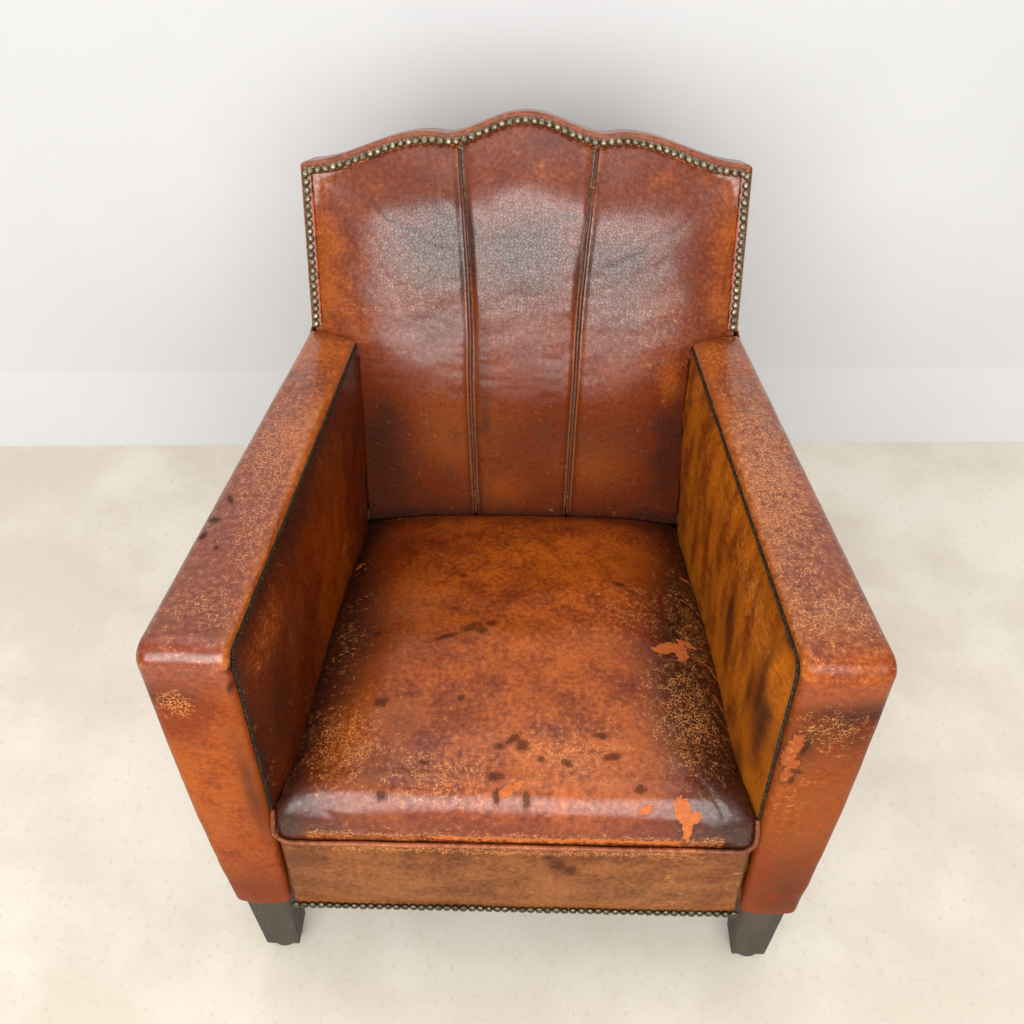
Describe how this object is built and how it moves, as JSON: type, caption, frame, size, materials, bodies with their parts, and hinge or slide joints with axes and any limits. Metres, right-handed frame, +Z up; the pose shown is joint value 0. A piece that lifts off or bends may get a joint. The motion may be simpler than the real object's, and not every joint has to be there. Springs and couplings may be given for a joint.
{
  "type": "worn club chair",
  "caption": "Low upholstered armchair in worn brown leather with a sprung seat, flared padded arms, a lobed nailed back and square tapered feet.",
  "frame": {"origin": "middle of the chair's box, on the floor that its glides stand on", "axes": "+Z up; the chair faces -Y; +X is the right side as seen by someone facing the chair"},
  "size_m": [0.734, 0.7872, 0.8838],
  "materials": {
    "leather": "waxed sheepskin, crackled, scratched and worn",
    "piping_leather": "dark waxed leather over cord",
    "stuffing": "curled hair and cotton felt",
    "canvas": "plain hessian",
    "webbing": "woven jute strap",
    "beech": "sawn, unfinished",
    "stained_wood": "dark stained and scuffed",
    "spring_wire": "dull drawn wire",
    "nail_brass": "antiqued domed heads",
    "glide": "dark domed glide"
  },
  "bodies": {
    "root": {"front_rail": "beech", "rear_rail": "beech", "left_side_rail": "beech", "right_side_rail": "beech", "left_front_post": "beech", "right_front_post": "beech", "left_rear_post": "beech", "right_rear_post": "beech", "left_arm_board": "beech", "right_arm_board": "beech", "left_arm_tack_rail": "beech", "right_arm_tack_rail": "beech", "crest_rail": "beech", "lower_back_rail": "beech", "left_corner_block": "beech", "right_corner_block": "beech", "left_front_foot": "stained_wood", "right_front_foot": "stained_wood", "left_front_glide": "glide", "right_front_glide": "glide", "left_rear_foot": "stained_wood", "right_rear_foot": "stained_wood", "left_rear_glide": "glide", "right_rear_glide": "glide", "seat_webbing": "webbing", "back_webbing": "webbing", "spring_front_left": "spring_wire", "spring_front_centre": "spring_wire", "spring_front_right": "spring_wire", "spring_middle_left": "spring_wire", "spring_middle_centre": "spring_wire", "spring_middle_right": "spring_wire", "spring_rear_left": "spring_wire", "spring_rear_centre": "spring_wire", "spring_rear_right": "spring_wire", "spring_cover": "canvas", "seat_pad": "stuffing", "back_pad": "stuffing", "left_arm_pad": "stuffing", "right_arm_pad": "stuffing", "seat_leather": "leather", "seat_welt": "piping_leather", "front_border_leather": "leather", "left_inside_back_leather": "leather", "right_inside_back_leather": "leather", "centre_inside_back_leather": "leather", "left_back_piping": "piping_leather", "right_back_piping": "piping_leather", "back_edge_band": "leather", "outside_back_leather": "leather", "left_inside_arm_leather": "leather", "right_inside_arm_leather": "leather", "left_arm_strip_leather": "leather", "right_arm_strip_leather": "leather", "left_outside_arm_leather": "leather", "right_outside_arm_leather": "leather", "dust_cover": "canvas", "back_nail_row": "nail_brass", "front_nail_row": "nail_brass"}
  },
  "joints": []
}
